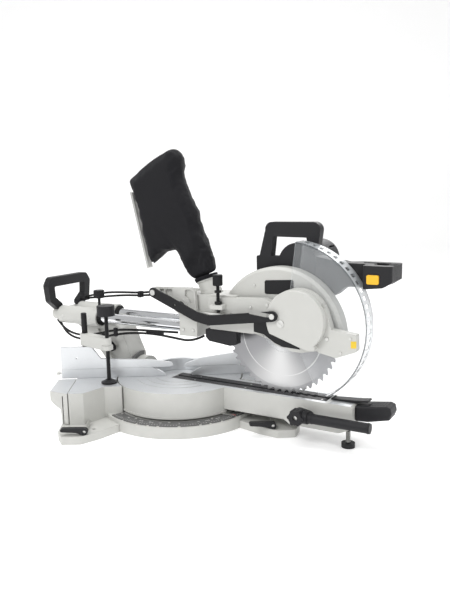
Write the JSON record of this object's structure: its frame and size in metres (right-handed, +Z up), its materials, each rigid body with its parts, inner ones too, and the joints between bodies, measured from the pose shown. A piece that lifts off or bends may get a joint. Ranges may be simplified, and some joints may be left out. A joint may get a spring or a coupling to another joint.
{
  "type": "sliding miter saw",
  "caption": "Sliding compound miter saw with a tilting head on twin rails, clear lower blade guard, split fence, extension tables, work clamp and cloth dust bag.",
  "frame": {"origin": "miter pivot axis where it meets the bench, the centre of the four bench bolts", "axes": "+X to the operator's right along the fence, -Y towards the operator, +Z up"},
  "size_m": [0.9258, 0.6724, 0.712],
  "materials": {
    "cast_paint": "painted casting, satin",
    "bare_alloy": "machined",
    "rail_chrome": "polished",
    "steel": "brushed",
    "zinc": "zinc plated",
    "dark_plastic": "moulded",
    "grey_plastic": "moulded",
    "clear_plastic": "clear",
    "amber_plastic": "moulded",
    "orange_plastic": "moulded",
    "bag_cloth": "woven",
    "rubber": "matte",
    "scale_plate": "printed"
  },
  "bodies": {
    "base": {"base_casting": "cast_paint", "miter_scale": "scale_plate", "base_fasteners": "zinc", "centre_pivot_bolt": "zinc", "fixed_fence": "bare_alloy", "clamp_post": "zinc"},
    "left_fence": {"left_sliding_fence": "bare_alloy"},
    "right_fence": {"right_sliding_fence": "bare_alloy"},
    "left_table": {"left_extension_table": "bare_alloy"},
    "right_table": {"right_extension_table": "bare_alloy"},
    "left_lever": {"left_extension_lever": "dark_plastic"},
    "right_lever": {"right_extension_lever": "dark_plastic"},
    "clamp_arm": {"clamp_arm": "cast_paint"},
    "clamp_screw": {"clamp_screw": "zinc", "clamp_pad": "zinc", "clamp_knob": "dark_plastic"},
    "turntable": {"turntable_casting": "cast_paint", "kerf_inserts": "grey_plastic", "turntable_fittings": "zinc", "front_grip": "dark_plastic", "bevel_shaft": "zinc", "bevel_scale": "scale_plate"},
    "detent_lever": {"detent_lever": "dark_plastic"},
    "side_lock": {"side_lock_lever": "dark_plastic"},
    "levelling_foot": {"levelling_foot": "dark_plastic"},
    "column": {"bevel_column": "cast_paint", "column_fasteners": "zinc", "rail_bushes": "steel", "rail_seals": "rubber"},
    "bevel_lock": {"bevel_lock_lever": "dark_plastic"},
    "slide_lock": {"slide_lock_knob": "dark_plastic"},
    "carriage": {"slide_rails": "rail_chrome", "carriage_bracket": "cast_paint", "chop_shaft": "steel", "rear_yoke": "cast_paint", "rear_handle": "dark_plastic", "stop_plate": "zinc", "link_pivot_screw": "zinc", "upper_leads": "rubber", "lower_leads": "rubber"},
    "guard_link": {"guard_link": "zinc"},
    "head": {"head_casting": "cast_paint", "arbor_cover": "cast_paint", "head_fasteners": "zinc", "junction_box": "dark_plastic", "belt_case": "dark_plastic", "motor_housing": "grey_plastic", "carry_handle": "dark_plastic", "handle_left": "dark_plastic", "handle_right": "dark_plastic", "dust_port": "cast_paint", "dust_bag": "bag_cloth", "bag_clip": "zinc"},
    "depth_stop": {"depth_stop": "zinc"},
    "trigger": {"trigger": "orange_plastic"},
    "lock_off_button": {"lock_off_button": "amber_plastic"},
    "spindle": {"arbor_shaft": "steel", "blade_fastening": "steel", "saw_blade": "steel"},
    "lower_guard": {"lower_guard": "clear_plastic"}
  },
  "joints": [
    {"name": "miter", "type": "hinge", "parent": "base", "child": "turntable", "pos_m": [0, 0, 0.09], "axis": [0, 0, 1], "range_deg": [-88.6, 0]},
    {"name": "bevel", "type": "hinge", "parent": "turntable", "child": "column", "pos_m": [0, 0, 0.103], "axis": [0.8387, -0.5446, 0], "range_deg": [0, 22.5]},
    {"name": "slide", "type": "slide", "parent": "column", "child": "carriage", "axis": [0.8387, -0.5446, 0], "range_m": [-0.23, 0]},
    {"name": "chop", "type": "hinge", "parent": "carriage", "child": "head", "pos_m": [0.04445, -0.02887, 0.312], "axis": [-0.5446, -0.8387, 0], "range_deg": [0, 42]},
    {"name": "spindle", "type": "hinge", "parent": "head", "child": "spindle", "pos_m": [0.26083, -0.16938, 0.251], "axis": [0.5446, 0.8387, 0], "continuous": true},
    {"name": "lower_guard", "type": "hinge", "parent": "head", "child": "lower_guard", "pos_m": [0.28347, -0.18409, 0.283], "axis": [0.5446, 0.8387, 0], "range_deg": [0, 101]},
    {"name": "guard_link", "type": "hinge", "parent": "carriage", "child": "guard_link", "pos_m": [-0.0606, -0.05842, 0.346], "axis": [-0.5446, -0.8387, 0], "range_deg": [0, 34.5]},
    {"name": "trigger", "type": "slide", "parent": "head", "child": "trigger", "axis": [0.8387, -0.5446, 0], "range_m": [0, 0.005], "stiffness_N_per_m": 400},
    {"name": "lock_off_button", "type": "slide", "parent": "head", "child": "lock_off_button", "axis": [0.5446, 0.8387, 0], "range_m": [0, 0.003], "stiffness_N_per_m": 300},
    {"name": "depth_stop", "type": "slide", "parent": "head", "child": "depth_stop", "axis": [0, 0, 1], "range_m": [0, 0.02]},
    {"name": "slide_lock", "type": "hinge", "parent": "column", "child": "slide_lock", "pos_m": [-0.22818, 0.10765, 0.29], "axis": [0, 0, 1], "range_deg": [0, 90]},
    {"name": "bevel_lock", "type": "hinge", "parent": "column", "child": "bevel_lock", "pos_m": [-0.19229, 0.07479, 0.17], "axis": [-0.5446, -0.8387, 0], "range_deg": [0, 60]},
    {"name": "detent_lever", "type": "hinge", "parent": "turntable", "child": "detent_lever", "pos_m": [0.37656, -0.24454, 0.1062], "axis": [-0.5446, -0.8387, 0], "range_deg": [0, 3], "stiffness_Nm_per_rad": 1},
    {"name": "side_lock", "type": "hinge", "parent": "turntable", "child": "side_lock", "pos_m": [0.28476, -0.26839, 0.07], "axis": [-0.5446, -0.8387, 0], "range_deg": [0, 30]},
    {"name": "levelling_foot", "type": "slide", "parent": "turntable", "child": "levelling_foot", "axis": [0, 0, 1], "range_m": [0, 0.02]},
    {"name": "left_table", "type": "slide", "parent": "base", "child": "left_table", "axis": [-1, 0, 0], "range_m": [0, 0.08]},
    {"name": "right_table", "type": "slide", "parent": "base", "child": "right_table", "axis": [1, 0, 0], "range_m": [0, 0.08]},
    {"name": "left_fence", "type": "slide", "parent": "base", "child": "left_fence", "axis": [-1, 0, 0], "range_m": [0, 0.08]},
    {"name": "right_fence", "type": "slide", "parent": "base", "child": "right_fence", "axis": [1, 0, 0], "range_m": [0, 0.08]},
    {"name": "left_lever", "type": "hinge", "parent": "base", "child": "left_lever", "pos_m": [-0.232, -0.212, 0.029], "axis": [0, 1, 0], "range_deg": [0, 25]},
    {"name": "right_lever", "type": "hinge", "parent": "base", "child": "right_lever", "pos_m": [0.232, -0.212, 0.029], "axis": [0, 1, 0], "range_deg": [0, 25]},
    {"name": "clamp_arm", "type": "hinge", "parent": "base", "child": "clamp_arm", "pos_m": [-0.259, 0.018, 0.21], "axis": [0, 0, -1], "range_deg": [0, 60]},
    {"name": "clamp_screw", "type": "slide", "parent": "clamp_arm", "child": "clamp_screw", "axis": [0, 0, 1], "range_m": [0, 0.05]}
  ],
  "couplings": [
    {"joint": "lower_guard", "follows": "chop", "ratio": 2.4},
    {"joint": "guard_link", "follows": "chop", "ratio": 0.805}
  ]
}
